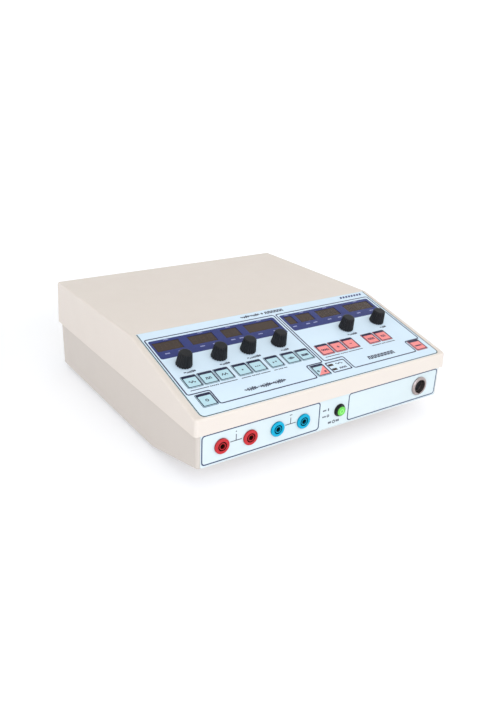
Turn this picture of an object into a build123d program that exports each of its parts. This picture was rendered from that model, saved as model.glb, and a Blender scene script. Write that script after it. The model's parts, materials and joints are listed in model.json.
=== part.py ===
from build123d import *
import os
from math import atan2, cos, radians, sin, tan

os.makedirs("parts", exist_ok=True)

# Desk-top combined interferential and ultrasound therapy unit.
# Millimetres, +X to the right seen from the front, +Y to the back, +Z up.
# The origin is the middle of the case on the surface that the rubber feet stand on.

# ---------------------------------------------------------------- driving dimensions: case
# Width and depth are those of the cover's rim; its walls lean in by the draft angle above it.
case_width = 305.0
case_depth = 325.0
foot_height = 4.0
base_height = 53.6
cover_height = 48.4
cover_draft = 1.9
cover_wall = 3.2
panel_wall = 3.0
base_wall = 3.0
base_inset_front = 2.4
base_inset_side = 3.2
base_inset_back = 3.0
cover_corner_radius = 3.5
cover_edge_radius = 2.5
base_corner_radius = 3.0
base_edge_radius = 2.5
front_face_height = 33.6
ramp_length = 85.0
tongue_height = 5.0
fit_gap = 0.1
slope_angle = 14.7
slope_run = 125.4

# ---------------------------------------------------------------- driving dimensions: control face
overlay_thickness = 0.4
overlay_width = 290.0
overlay_top_gap = 0.3
overlay_length = 127.4
overlay_corner_radius = 6.0
key_width = 15.2
key_height = 16.6
key_corner_radius = 1.2
key_gap = 0.08
key_pitch = 17.0
key_travel = 0.5
key_row = 81.6
corner_key_row = 108.3
knob_row = 57.0
display_row = 25.6
display_height = 14.5
digit_pitch = 9.0
display_margin = 1.5
filter_lap = 1.2
filter_height = display_height + 2 * filter_lap
filter_thickness = 2.0
bushing_radius = 3.5
bushing_gap = 0.1
nut_hole_radius = 6.0
shaft_radius = 3.0
shaft_gap = 0.05
board_depth = 9.5
board_thickness = 1.6
# How far a cut runs past the face that it opens, how far a post is rooted in its wall,
# and how near to a line an edge lies to be counted as on it.
cut_margin = 1.0
root_depth = 0.5
edge_reach = 1.0

# ---------------------------------------------------------------- driving dimensions: front face
front_overlay_width = 292.0
front_overlay_height = 32.4
front_overlay_top_gap = 0.3
front_overlay_corner_radius = 1.5
front_panel_width = 278.0
front_panel_height = 26.0
socket_row = 41.5
socket_pitch = 30.0
first_socket_x = -124.7
power_x = 9.9
treatment_x = 119.5

# ---------------------------------------------------------------- worked-out places
base_bottom = foot_height
split_height = base_bottom + base_height
cover_top = split_height + cover_height
cover_front = -case_depth / 2
cover_back = case_depth / 2
front_face = cover_front + base_inset_front
base_back = cover_back - base_inset_back
base_width = case_width - 2 * base_inset_side
nose_height = cover_top - slope_run * tan(radians(slope_angle))
nose_front = cover_front + (nose_height - split_height) * tan(radians(cover_draft))
slope_break = nose_front + slope_run
top_inset = cover_height * tan(radians(cover_draft))
front_face_bottom = split_height - front_face_height
ramp_end = front_face + ramp_length
ramp_rise = front_face_bottom - base_bottom
floor_height = base_bottom + base_wall

# The control face: x to the right, y up the slope, z out of it, from the middle of the slope's top.
control_face = Plane(
    origin=(0, slope_break, cover_top),
    x_dir=(1, 0, 0),
    z_dir=(0, -sin(radians(slope_angle)), cos(radians(slope_angle))),
)
slope_normal = Axis(control_face.origin, control_face.z_dir)


def on_control_face(x, down, out=0.0):
    """Plane on the control face, x to the right and a distance down the slope."""
    return Plane(
        origin=control_face.from_local_coords((x, -down, out)),
        x_dir=control_face.x_dir,
        z_dir=control_face.z_dir,
    )


def on_front(x, height, out=0.0):
    """Plane on the front face of the base, facing forward."""
    return Plane(origin=(x, front_face - out, height), x_dir=(1, 0, 0), z_dir=(0, -1, 0))


def on_back(x, height, out=0.0):
    """Plane on the back wall of the base, facing backward."""
    return Plane(origin=(x, base_back + out, height), x_dir=(-1, 0, 0), z_dir=(0, 1, 0))


# ---------------------------------------------------------------- layout of the control face
def key_run(first_x, count):
    """Middles of a run of keys that starts at first_x."""
    return [first_x + key_pitch * index for index in range(count)]


turquoise_row = key_run(-129.0, 3) + key_run(-75.25, 2) + key_run(-38.5, 1) + key_run(-18.75, 2)
red_row = key_run(24.2, 3) + key_run(86.8, 2)

key_places = {}
for index, x in enumerate(turquoise_row, start=1):
    key_places[f"turquoise_key_{index}"] = (x, key_row)
for index, x in enumerate(red_row, start=1):
    key_places[f"red_key_{index}"] = (x, key_row)
key_places["turquoise_corner_key"] = (turquoise_row[0], corner_key_row)
key_places["two_colour_key"] = (turquoise_row[-1], corner_key_row)
key_places["red_corner_key"] = (130.6, corner_key_row)

knob_columns = [-123.6, -86.0, -53.0, -16.2, 72.5, 116.6]

# Each display window: middle, and how many digits stand behind it.
left_windows = [(-123.6, 3), (-85.9, 3), (-52.9, 2), (-16.2, 4)]
right_windows = [(21.7, 1), (41.1, 2), (72.5, 3), (116.6, 4)]

indicator_places = [(13.3, 105.3), (13.3, 112.1)]
indicator_width = 6.0
indicator_height = 3.0

socket_places = {
    "red_socket_1": first_socket_x,
    "red_socket_2": first_socket_x + socket_pitch,
    "blue_socket_1": first_socket_x + 2 * socket_pitch,
    "blue_socket_2": first_socket_x + 3 * socket_pitch,
}


def window_width(digits):
    """Width of a display window for a number of digits."""
    return digits * digit_pitch + display_margin


def filter_span(windows):
    """Left and right ends of the filter behind a group of display windows."""
    first_x, first_digits = windows[0]
    last_x, last_digits = windows[-1]
    left = first_x - window_width(first_digits) / 2 - filter_lap
    right = last_x + window_width(last_digits) / 2 + filter_lap
    return left, right


# Posts inside the case, for the four long screws that hold the cover down.
post_radius = 5.0
post_x = 138.0
front_post_y = slope_break + 8.0
rear_post_y = 140.0
post_places = [(x, y) for x in (-post_x, post_x) for y in (front_post_y, rear_post_y)]
post_joint_height = split_height + 8.0
screw_radius = 2.0
screw_gap = 0.2
screw_head_radius = 3.6
screw_head_height = 3.0
screw_seat_height = base_bottom + 36.0
screw_tip_height = post_joint_height + 13.0
screw_slot_width = 1.0
screw_slot_depth = 1.8

# ---------------------------------------------------------------- upper cover
slope_tilt = radians(slope_angle)
inner_front = nose_front + cover_wall
inner_back = cover_back - top_inset - cover_wall
inner_width = case_width - 2 * (top_inset + cover_wall)
inner_top = cover_top - panel_wall
inner_break = slope_break + panel_wall * tan(slope_tilt / 2)
inner_nose = cover_top - (slope_break - inner_front) * tan(slope_tilt) - panel_wall / cos(slope_tilt)

with BuildPart() as upper_cover:
    with BuildSketch(Plane.XY.offset(split_height)):
        Rectangle(case_width, case_depth)
    extrude(amount=cover_height, taper=cover_draft)
    # The sloped control face, cut from the front of the block.
    with BuildSketch(control_face):
        with Locations((0, -slope_run)):
            Rectangle(case_width + 2 * cut_margin, 2 * slope_run)
    extrude(amount=cover_height, mode=Mode.SUBTRACT)
    corner_edges = [edge for edge in upper_cover.edges() if abs(edge.tangent_at(0.5).Z) > 0.9]
    fillet(corner_edges, radius=cover_corner_radius)
    crown_faces = upper_cover.faces().sort_by(Axis.Z)[-2:]
    crown_edges = crown_faces[0].edges() + crown_faces[1].edges()
    break_edges = upper_cover.edges().filter_by(Axis.X).filter_by_position(
        Axis.Y, slope_break - edge_reach, slope_break + edge_reach
    )
    fillet([edge for edge in crown_edges if edge not in break_edges], radius=cover_edge_radius)
    # The hollow inside, open at the bottom.
    with BuildSketch(Plane.YZ):
        with BuildLine():
            Polyline(
                (inner_front, split_height - cut_margin),
                (inner_front, inner_nose),
                (inner_break, inner_top),
                (inner_back, inner_top),
                (inner_back, split_height - cut_margin),
                close=True,
            )
        make_face()
    extrude(amount=inner_width / 2, both=True, mode=Mode.SUBTRACT)
    # Screw posts hang from the flat top.
    with BuildSketch(Plane.XY.offset(post_joint_height)):
        with Locations(*post_places):
            Circle(post_radius)
    extrude(amount=inner_top - post_joint_height + root_depth)
    with BuildSketch(Plane.XY.offset(post_joint_height)):
        with Locations(*post_places):
            Circle(screw_radius)
    extrude(amount=screw_tip_height - post_joint_height + cut_margin, mode=Mode.SUBTRACT)
    # Openings through the control face: keys, indicator windows, control bushings, displays.
    with BuildSketch(control_face):
        for x, down in key_places.values():
            with Locations((x, -down)):
                RectangleRounded(key_width + 2 * key_gap, key_height + 2 * key_gap, key_corner_radius)
        for x, down in indicator_places:
            with Locations((x, -down)):
                Rectangle(indicator_width, indicator_height)
        for x in knob_columns:
            with Locations((x, -knob_row)):
                Circle(bushing_radius + bushing_gap)
        for windows in (left_windows, right_windows):
            left, right = filter_span(windows)
            with Locations(((left + right) / 2, -display_row)):
                Rectangle(right - left + 2 * fit_gap, filter_height + 2 * fit_gap)
    extrude(amount=-panel_wall - cut_margin, mode=Mode.SUBTRACT)
upper_cover.part.label = "upper_cover"
export_step(upper_cover.part, "parts/upper_cover.step")

# ---------------------------------------------------------------- lower base
ramp_tilt = atan2(ramp_rise, ramp_length)
inner_face = front_face + base_wall
inner_base_back = base_back - base_wall
inner_ramp_start = front_face_bottom - base_wall * tan(ramp_tilt) + base_wall / cos(ramp_tilt)
inner_ramp_end = ramp_end + base_wall * tan(ramp_tilt / 2)
tongue_front = inner_front + fit_gap
tongue_back = inner_back - fit_gap
tongue_corner_radius = 2.0
socket_hole_radius = 6.0
front_overlay_middle = split_height - front_overlay_top_gap - front_overlay_height / 2
inlet_x = 95.0
inlet_height = 32.0
inlet_body_width = 27.6
inlet_body_height = 31.8
board_post_height = 15.0
board_post_radius = 3.5
board_post_columns = (-40.0, 110.0)
board_post_rows = (-20.0, 100.0)
board_post_places = [(x, y) for x in board_post_columns for y in board_post_rows]
vent_width = 2.4
vent_height = 20.0
vent_pitch = 6.0
vent_count = 9
vent_x = -90.0
vent_middle = 36.0

with BuildPart() as lower_base:
    with BuildSketch(Plane.YZ):
        with BuildLine():
            Polyline(
                (front_face, split_height),
                (front_face, front_face_bottom),
                (ramp_end, base_bottom),
                (base_back, base_bottom),
                (base_back, split_height),
                close=True,
            )
        make_face()
    extrude(amount=base_width / 2, both=True)
    fillet(lower_base.edges().filter_by(Axis.Z), radius=base_corner_radius)
    under_faces = lower_base.faces().sort_by(Axis.Z)[:2]
    ramp_edges = lower_base.edges().filter_by(Axis.X).filter_by_position(
        Axis.Y, ramp_end - edge_reach, ramp_end + edge_reach
    )
    under_edges = under_faces[0].edges() + under_faces[1].edges()
    fillet([edge for edge in under_edges if edge not in ramp_edges], radius=base_edge_radius)
    # The tongue that the cover's skirt fits over.
    with BuildSketch(Plane.XY.offset(split_height)):
        with Locations((0, (tongue_front + tongue_back) / 2)):
            RectangleRounded(inner_width - 2 * fit_gap, tongue_back - tongue_front, tongue_corner_radius)
    extrude(amount=tongue_height)
    # The hollow inside, open at the top.
    with BuildSketch(Plane.YZ):
        with BuildLine():
            Polyline(
                (inner_face, split_height + tongue_height + cut_margin),
                (inner_face, inner_ramp_start),
                (inner_ramp_end, floor_height),
                (inner_base_back, floor_height),
                (inner_base_back, split_height + tongue_height + cut_margin),
                close=True,
            )
        make_face()
    extrude(amount=base_width / 2 - base_wall, both=True, mode=Mode.SUBTRACT)
    # Window for the front panel.
    with BuildSketch(on_front(0, socket_row)):
        Rectangle(front_panel_width, front_panel_height)
    extrude(amount=-base_wall - cut_margin, mode=Mode.SUBTRACT)
    # Cut-out for the mains inlet and a row of ventilation slots in the back wall.
    with BuildSketch(on_back(inlet_x, inlet_height)):
        Rectangle(inlet_body_width + 2 * fit_gap, inlet_body_height + 2 * fit_gap)
    extrude(amount=-base_wall - cut_margin, mode=Mode.SUBTRACT)
    with BuildSketch(on_back(vent_x, vent_middle)):
        with GridLocations(vent_pitch, 1, vent_count, 1):
            SlotOverall(vent_height, vent_width, rotation=90)
    extrude(amount=-base_wall - cut_margin, mode=Mode.SUBTRACT)
    # Posts for the circuit board and for the cover's screws.
    with BuildSketch(Plane.XY.offset(floor_height - root_depth)):
        with Locations(*board_post_places):
            Circle(board_post_radius)
    extrude(amount=board_post_height - floor_height + root_depth)
    with BuildSketch(Plane.XY.offset(floor_height - root_depth)):
        with Locations(*post_places):
            Circle(post_radius)
    extrude(amount=post_joint_height - floor_height + root_depth)
    with BuildSketch(Plane.XY.offset(base_bottom - cut_margin)):
        with Locations(*post_places):
            Circle(screw_head_radius + screw_gap)
    extrude(amount=screw_seat_height - base_bottom + cut_margin, mode=Mode.SUBTRACT)
    with BuildSketch(Plane.XY.offset(screw_seat_height)):
        with Locations(*post_places):
            Circle(screw_radius + screw_gap)
    extrude(amount=post_joint_height - screw_seat_height, mode=Mode.SUBTRACT)
lower_base.part.label = "lower_base"
export_step(lower_base.part, "parts/lower_base.step")

with BuildPart() as cover_screws:
    with BuildSketch(Plane.XY.offset(screw_seat_height - screw_head_height)):
        with Locations(*post_places):
            Circle(screw_head_radius)
    extrude(amount=screw_head_height)
    with BuildSketch(Plane.XY.offset(screw_seat_height)):
        with Locations(*post_places):
            Circle(screw_radius)
    extrude(amount=screw_tip_height - screw_seat_height)
    with BuildSketch(Plane.XY.offset(screw_seat_height - screw_head_height)):
        with Locations(*post_places):
            SlotOverall(2 * screw_radius, screw_slot_width, rotation=0)
            SlotOverall(2 * screw_radius, screw_slot_width, rotation=90)
    extrude(amount=screw_slot_depth, mode=Mode.SUBTRACT)
cover_screws.part.label = "cover_screws"
export_step(cover_screws.part, "parts/cover_screws.step")

# ---------------------------------------------------------------- feet
foot_radius = 8.0
foot_top_radius = 9.0
foot_x = 118.0
front_foot_y = ramp_end + 18.0
rear_foot_y = 130.0
foot_places = [(x, y) for x in (-foot_x, foot_x) for y in (front_foot_y, rear_foot_y)]

with BuildPart() as rubber_feet:
    for place in foot_places:
        with BuildSketch(Plane.XY):
            with Locations(place):
                Circle(foot_radius)
        with BuildSketch(Plane.XY.offset(foot_height)):
            with Locations(place):
                Circle(foot_top_radius)
        loft()
rubber_feet.part.label = "rubber_feet"
export_step(rubber_feet.part, "parts/rubber_feet.step")

# ---------------------------------------------------------------- printed overlays
with BuildPart() as control_overlay:
    with BuildSketch(control_face):
        with Locations((0, -overlay_top_gap - overlay_length / 2)):
            sheet = Rectangle(overlay_width, overlay_length)
        fillet(sheet.vertices().group_by(Axis.Y)[0], radius=overlay_corner_radius)
        for x, down in key_places.values():
            with Locations((x, -down)):
                RectangleRounded(
                    key_width + 2 * key_gap,
                    key_height + 2 * key_gap,
                    key_corner_radius,
                    mode=Mode.SUBTRACT,
                )
        for x, down in indicator_places:
            with Locations((x, -down)):
                Rectangle(indicator_width, indicator_height, mode=Mode.SUBTRACT)
        for x in knob_columns:
            with Locations((x, -knob_row)):
                Circle(nut_hole_radius, mode=Mode.SUBTRACT)
        for x, digits in left_windows + right_windows:
            with Locations((x, -display_row)):
                Rectangle(window_width(digits), display_height, mode=Mode.SUBTRACT)
    extrude(amount=overlay_thickness)
control_overlay.part.label = "control_overlay"
export_step(control_overlay.part, "parts/control_overlay.step")

bezel_hole_radius = 6.0
treatment_hole_radius = 9.0
front_holes = [(x, socket_hole_radius) for x in socket_places.values()]
front_holes += [(power_x, bezel_hole_radius), (treatment_x, treatment_hole_radius)]

with BuildPart() as front_overlay:
    with BuildSketch(on_front(0, front_overlay_middle)):
        RectangleRounded(front_overlay_width, front_overlay_height, front_overlay_corner_radius)
        for x, radius in front_holes:
            with Locations((x, socket_row - front_overlay_middle)):
                Circle(radius, mode=Mode.SUBTRACT)
    extrude(amount=overlay_thickness)
front_overlay.part.label = "front_overlay"
export_step(front_overlay.part, "parts/front_overlay.step")

with BuildPart() as front_panel:
    with BuildSketch(on_front(0, socket_row)):
        Rectangle(front_panel_width - 2 * fit_gap, front_panel_height - 2 * fit_gap)
        for x, radius in front_holes:
            with Locations((x, 0)):
                Circle(radius, mode=Mode.SUBTRACT)
    extrude(amount=-base_wall)
front_panel.part.label = "front_panel"
export_step(front_panel.part, "parts/front_panel.step")

# ---------------------------------------------------------------- displays and indicators
for name, windows in (("left_display_filter", left_windows), ("right_display_filter", right_windows)):
    left, right = filter_span(windows)
    with BuildPart() as display_filter:
        with BuildSketch(on_control_face((left + right) / 2, display_row)):
            Rectangle(right - left, filter_height)
        extrude(amount=-filter_thickness)
    display_filter.part.label = name
    export_step(display_filter.part, f"parts/{name}.step")

with BuildPart() as indicator_lenses:
    with BuildSketch(control_face.offset(-panel_wall)):
        for x, down in indicator_places:
            with Locations((x, -down)):
                Rectangle(indicator_width, indicator_height)
    extrude(amount=panel_wall + overlay_thickness)
indicator_lenses.part.label = "indicator_lenses"
export_step(indicator_lenses.part, "parts/indicator_lenses.step")

digit_block_height = 12.5

with BuildPart() as led_displays:
    with BuildSketch(control_face.offset(-board_depth)):
        for x, digits in left_windows + right_windows:
            with Locations((x, -display_row)):
                Rectangle(digits * digit_pitch, digit_block_height)
    extrude(amount=board_depth - filter_thickness - fit_gap)
led_displays.part.label = "led_displays"
export_step(led_displays.part, "parts/led_displays.step")

# ---------------------------------------------------------------- control board and key switches
control_board_width = 274.0
control_board_start = 14.0
control_board_end = 119.0

with BuildPart() as control_board:
    with BuildSketch(on_control_face(0, (control_board_start + control_board_end) / 2, -board_depth)):
        Rectangle(control_board_width, control_board_end - control_board_start)
    extrude(amount=-board_thickness)
control_board.part.label = "control_board"
export_step(control_board.part, "parts/control_board.step")

key_top = 0.75
key_edge_radius = 0.3
key_flange = 0.5
key_flange_top = -panel_wall - fit_gap
key_flange_thickness = 1.0
plunger_radius = 2.2
plunger_end = -5.0
switch_size = 6.0
switch_height = 3.0
switch_button_radius = 1.6
switch_button_top = plunger_end - key_travel - fit_gap

with BuildPart() as key_switches:
    with BuildSketch(control_face.offset(-board_depth)):
        for x, down in key_places.values():
            with Locations((x, -down)):
                Rectangle(switch_size, switch_size)
    extrude(amount=switch_height)
    with BuildSketch(control_face.offset(-board_depth + switch_height)):
        for x, down in key_places.values():
            with Locations((x, -down)):
                Circle(switch_button_radius)
    extrude(amount=board_depth - switch_height + switch_button_top)
key_switches.part.label = "key_switches"
export_step(key_switches.part, "parts/key_switches.step")

# ---------------------------------------------------------------- keys
for name, (x, down) in key_places.items():
    with BuildPart() as key:
        with BuildSketch(on_control_face(x, down, key_flange_top)):
            RectangleRounded(key_width, key_height, key_corner_radius)
        extrude(amount=key_top - key_flange_top)
        fillet(key.faces().sort_by(slope_normal)[-1].edges(), radius=key_edge_radius)
        with BuildSketch(on_control_face(x, down, key_flange_top)):
            RectangleRounded(key_width + 2 * key_flange, key_height + 2 * key_flange, key_corner_radius)
        extrude(amount=-key_flange_thickness)
        with BuildSketch(on_control_face(x, down, key_flange_top - key_flange_thickness)):
            Circle(plunger_radius)
        extrude(amount=plunger_end - key_flange_top + key_flange_thickness)
    key.part.label = name
    export_step(key.part, f"parts/{name}.step")

# ---------------------------------------------------------------- rotary controls
control_body_size = 16.0
bushing_top = 3.4
shaft_bottom = -8.0
nut_width = 10.0
nut_thickness = 2.2
knob_bottom = 1.0
knob_top = 14.4
knob_base_radius = 8.0
knob_top_radius = 6.2
knob_recess_radius = 6.1
knob_recess_top = 4.6
knob_bore_top = 11.0
knob_edge_radius = 0.7
knob_crown_radius = 1.6
flute_count = 18
flute_radius = 0.85
flute_standoff = 0.2

with BuildPart() as potentiometers:
    for x in knob_columns:
        with BuildSketch(on_control_face(x, knob_row, -board_depth)):
            Rectangle(control_body_size, control_body_size)
        extrude(amount=board_depth - panel_wall)
        with BuildSketch(on_control_face(x, knob_row, -panel_wall)):
            Circle(bushing_radius)
        extrude(amount=panel_wall + bushing_top)
        with BuildSketch(on_control_face(x, knob_row, shaft_bottom - fit_gap)):
            Circle(shaft_radius + shaft_gap)
        extrude(amount=bushing_top - shaft_bottom + cut_margin, mode=Mode.SUBTRACT)
potentiometers.part.label = "potentiometers"
export_step(potentiometers.part, "parts/potentiometers.step")

with BuildPart() as control_nuts:
    for x in knob_columns:
        with BuildSketch(on_control_face(x, knob_row)):
            RegularPolygon(nut_width / 2, 6, major_radius=False)
            Circle(bushing_radius, mode=Mode.SUBTRACT)
        extrude(amount=nut_thickness)
control_nuts.part.label = "control_nuts"
export_step(control_nuts.part, "parts/control_nuts.step")


def fluted_disc(radius):
    """Knob section: a disc with shallow grooves round its rim, inside an open sketch."""
    Circle(radius)
    with PolarLocations(radius + flute_standoff, flute_count):
        Circle(flute_radius, mode=Mode.SUBTRACT)


for number, x in enumerate(knob_columns, start=1):
    knob_seat = on_control_face(x, knob_row)
    knob_axis = Axis(knob_seat.origin, knob_seat.z_dir)
    with BuildPart() as knob:
        with BuildSketch(knob_seat.offset(knob_bottom)):
            fluted_disc(knob_base_radius)
        with BuildSketch(knob_seat.offset(knob_top)):
            fluted_disc(knob_top_radius)
        loft()
        # The smooth turned shape that the flutes are cut into rounds the knob's rims.
        with BuildSketch(Plane(origin=knob_seat.origin, x_dir=(1, 0, 0), z_dir=-knob_seat.y_dir)):
            with BuildLine():
                Polyline(
                    (0, knob_bottom),
                    (knob_base_radius, knob_bottom),
                    (knob_top_radius, knob_top),
                    (0, knob_top),
                    close=True,
                )
            turned = make_face()
            crown_corner = turned.vertices().group_by(Axis.X)[1]
            fillet(crown_corner, radius=knob_crown_radius)
            rim_corner = turned.vertices().group_by(Axis.X)[-1]
            fillet(rim_corner, radius=knob_edge_radius)
        revolve(axis=knob_axis, mode=Mode.INTERSECT)
        with BuildSketch(knob_seat.offset(knob_bottom)):
            Circle(knob_recess_radius)
        extrude(amount=knob_recess_top - knob_bottom, mode=Mode.SUBTRACT)
        with BuildSketch(knob_seat.offset(knob_recess_top)):
            Circle(shaft_radius)
        extrude(amount=knob_bore_top - knob_recess_top, mode=Mode.SUBTRACT)
    knob.part.label = f"knob_{number}"
    export_step(knob.part, f"parts/knob_{number}.step")

    with BuildPart() as knob_shaft:
        with BuildSketch(knob_seat.offset(shaft_bottom)):
            Circle(shaft_radius)
        extrude(amount=knob_bore_top - shaft_bottom)
    knob_shaft.part.label = f"knob_shaft_{number}"
    export_step(knob_shaft.part, f"parts/knob_shaft_{number}.step")

# ---------------------------------------------------------------- patient-lead sockets
socket_flange_radius = 7.5
socket_flange_thickness = 1.8
socket_barrel_radius = 5.9
socket_barrel_length = 22.0
socket_groove_inner = 3.3
socket_groove_outer = 4.5
socket_groove_depth = 16.0
socket_edge_radius = 0.8
contact_outer = 2.6
contact_inner = 2.0
contact_start = -1.0
contact_end = -20.0
contact_floor = 2.0
contact_tab_end = -27.0
contact_tab_width = 3.0
contact_tab_thickness = 0.8
panel_nut_width = 15.0
panel_nut_thickness = 3.0

for name, x in socket_places.items():
    with BuildPart() as socket:
        with BuildSketch(on_front(x, socket_row, overlay_thickness)):
            Circle(socket_flange_radius)
        extrude(amount=socket_flange_thickness)
        fillet(socket.faces().sort_by(Axis.Y)[0].edges(), radius=socket_edge_radius)
        with BuildSketch(on_front(x, socket_row, overlay_thickness)):
            Circle(socket_barrel_radius)
        extrude(amount=-socket_barrel_length - overlay_thickness)
        with BuildSketch(on_front(x, socket_row, overlay_thickness + socket_flange_thickness)):
            Circle(socket_groove_outer)
            Circle(socket_groove_inner, mode=Mode.SUBTRACT)
        extrude(amount=-socket_groove_depth, mode=Mode.SUBTRACT)
        with BuildSketch(on_front(x, socket_row, overlay_thickness + socket_flange_thickness)):
            Circle(contact_outer)
        extrude(amount=-socket_barrel_length - socket_flange_thickness - cut_margin, mode=Mode.SUBTRACT)
    socket.part.label = name
    export_step(socket.part, f"parts/{name}.step")

with BuildPart() as socket_contacts:
    for x in socket_places.values():
        with BuildSketch(on_front(x, socket_row, contact_start)):
            Circle(contact_outer)
        extrude(amount=contact_end - contact_start - contact_floor)
        with BuildSketch(on_front(x, socket_row, contact_start)):
            Circle(contact_inner)
        extrude(amount=contact_end - contact_start, mode=Mode.SUBTRACT)
        with BuildSketch(on_front(x, socket_row, contact_end - contact_floor)):
            Rectangle(contact_tab_width, contact_tab_thickness)
        extrude(amount=contact_tab_end - contact_end + contact_floor)
socket_contacts.part.label = "socket_contacts"
export_step(socket_contacts.part, "parts/socket_contacts.step")

treatment_nut_width = 22.0
treatment_barrel_radius = 8.9

with BuildPart() as socket_nuts:
    with BuildSketch(on_front(0, socket_row, -base_wall)):
        for x in socket_places.values():
            with Locations((x, 0)):
                RegularPolygon(panel_nut_width / 2, 6, major_radius=False)
                Circle(socket_barrel_radius, mode=Mode.SUBTRACT)
        with Locations((treatment_x, 0)):
            RegularPolygon(treatment_nut_width / 2, 6, major_radius=False)
            Circle(treatment_barrel_radius, mode=Mode.SUBTRACT)
    extrude(amount=-panel_nut_thickness)
socket_nuts.part.label = "socket_nuts"
export_step(socket_nuts.part, "parts/socket_nuts.step")

# ---------------------------------------------------------------- treatment-head socket
treatment_flange_radius = 10.2
treatment_flange_thickness = 2.0
treatment_barrel_length = 14.0
treatment_edge_chamfer = 0.9
treatment_bore_radius = 7.4
treatment_insert_radius = 7.0
keyway_width = 2.2
keyway_depth = 0.8
insert_recess = 5.0
insert_end = -16.0
contact_circle_radius = 4.6
contact_count = 6
pin_radius = 0.8
pin_start = -7.0
pin_end = -21.0
treatment_mouth = overlay_thickness + treatment_flange_thickness

with BuildPart() as treatment_socket_shell:
    with BuildSketch(on_front(treatment_x, socket_row, overlay_thickness)):
        Circle(treatment_flange_radius)
    extrude(amount=treatment_flange_thickness)
    chamfer(treatment_socket_shell.faces().sort_by(Axis.Y)[0].edges(), length=treatment_edge_chamfer)
    with BuildSketch(on_front(treatment_x, socket_row, overlay_thickness)):
        Circle(treatment_barrel_radius)
    extrude(amount=-treatment_barrel_length - overlay_thickness)
    with BuildSketch(on_front(treatment_x, socket_row, treatment_mouth)):
        Circle(treatment_insert_radius)
    extrude(amount=-treatment_barrel_length - treatment_mouth - cut_margin, mode=Mode.SUBTRACT)
    # The wider mouth, with a keyway at its bottom that lets the plug in one way round only.
    with BuildSketch(on_front(treatment_x, socket_row, treatment_mouth)):
        Circle(treatment_bore_radius)
        with Locations((0, -treatment_bore_radius)):
            Rectangle(keyway_width, 2 * keyway_depth)
    extrude(amount=-insert_recess, mode=Mode.SUBTRACT)
treatment_socket_shell.part.label = "treatment_socket_shell"
export_step(treatment_socket_shell.part, "parts/treatment_socket_shell.step")

with BuildPart() as treatment_socket_insert:
    with BuildSketch(on_front(treatment_x, socket_row, treatment_mouth - insert_recess)):
        Circle(treatment_insert_radius)
        with PolarLocations(contact_circle_radius, contact_count, start_angle=90):
            Circle(pin_radius, mode=Mode.SUBTRACT)
        Circle(pin_radius, mode=Mode.SUBTRACT)
    extrude(amount=insert_end - treatment_mouth + insert_recess)
treatment_socket_insert.part.label = "treatment_socket_insert"
export_step(treatment_socket_insert.part, "parts/treatment_socket_insert.step")

with BuildPart() as treatment_socket_contacts:
    with BuildSketch(on_front(treatment_x, socket_row, pin_start)):
        with PolarLocations(contact_circle_radius, contact_count, start_angle=90):
            Circle(pin_radius)
        Circle(pin_radius)
    extrude(amount=pin_end - pin_start)
treatment_socket_contacts.part.label = "treatment_socket_contacts"
export_step(treatment_socket_contacts.part, "parts/treatment_socket_contacts.step")

# ---------------------------------------------------------------- power switch
bezel_radius = 6.6
bezel_thickness = 0.8
bezel_edge_radius = 0.4
bezel_collar_radius = 5.35
bezel_collar_height = 3.0
bezel_collar_edge = 0.2
bezel_barrel_radius = 5.9
bezel_depth = 8.0
button_radius = 4.7
button_gap = 0.05
button_front = 4.4
button_back = -5.5
button_travel = 2.0
button_edge_radius = 0.8
stem_radius = 2.0
stem_end = -12.0
stem_clearance = 0.5
power_switch_size = 16.0
power_switch_end = -28.0

with BuildPart() as power_bezel:
    with BuildSketch(on_front(power_x, socket_row, overlay_thickness)):
        Circle(bezel_radius)
    extrude(amount=bezel_thickness)
    fillet(power_bezel.faces().sort_by(Axis.Y)[0].edges(), radius=bezel_edge_radius)
    # The collar that shrouds the button.
    with BuildSketch(on_front(power_x, socket_row, overlay_thickness)):
        Circle(bezel_collar_radius)
    extrude(amount=bezel_collar_height)
    fillet(power_bezel.faces().sort_by(Axis.Y)[0].edges(), radius=bezel_collar_edge)
    with BuildSketch(on_front(power_x, socket_row, overlay_thickness)):
        Circle(bezel_barrel_radius)
    extrude(amount=-bezel_depth - overlay_thickness)
    with BuildSketch(on_front(power_x, socket_row, overlay_thickness + bezel_collar_height)):
        Circle(button_radius + button_gap)
    extrude(amount=-bezel_depth - overlay_thickness - bezel_collar_height - cut_margin, mode=Mode.SUBTRACT)
power_bezel.part.label = "power_bezel"
export_step(power_bezel.part, "parts/power_bezel.step")

with BuildPart() as power_button:
    with BuildSketch(on_front(power_x, socket_row, button_back)):
        Circle(button_radius)
    extrude(amount=button_front - button_back)
    fillet(power_button.faces().sort_by(Axis.Y)[0].edges(), radius=button_edge_radius)
    with BuildSketch(on_front(power_x, socket_row, button_back)):
        Circle(stem_radius)
    extrude(amount=stem_end - button_back)
power_button.part.label = "power_button"
export_step(power_button.part, "parts/power_button.step")

with BuildPart() as power_switch:
    with BuildSketch(on_front(power_x, socket_row, -bezel_depth)):
        Rectangle(power_switch_size, power_switch_size)
    extrude(amount=power_switch_end + bezel_depth)
    with BuildSketch(on_front(power_x, socket_row, -bezel_depth)):
        Circle(stem_radius + button_gap)
    extrude(amount=stem_end - button_travel + bezel_depth - stem_clearance, mode=Mode.SUBTRACT)
power_switch.part.label = "power_switch"
export_step(power_switch.part, "parts/power_switch.step")

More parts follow.
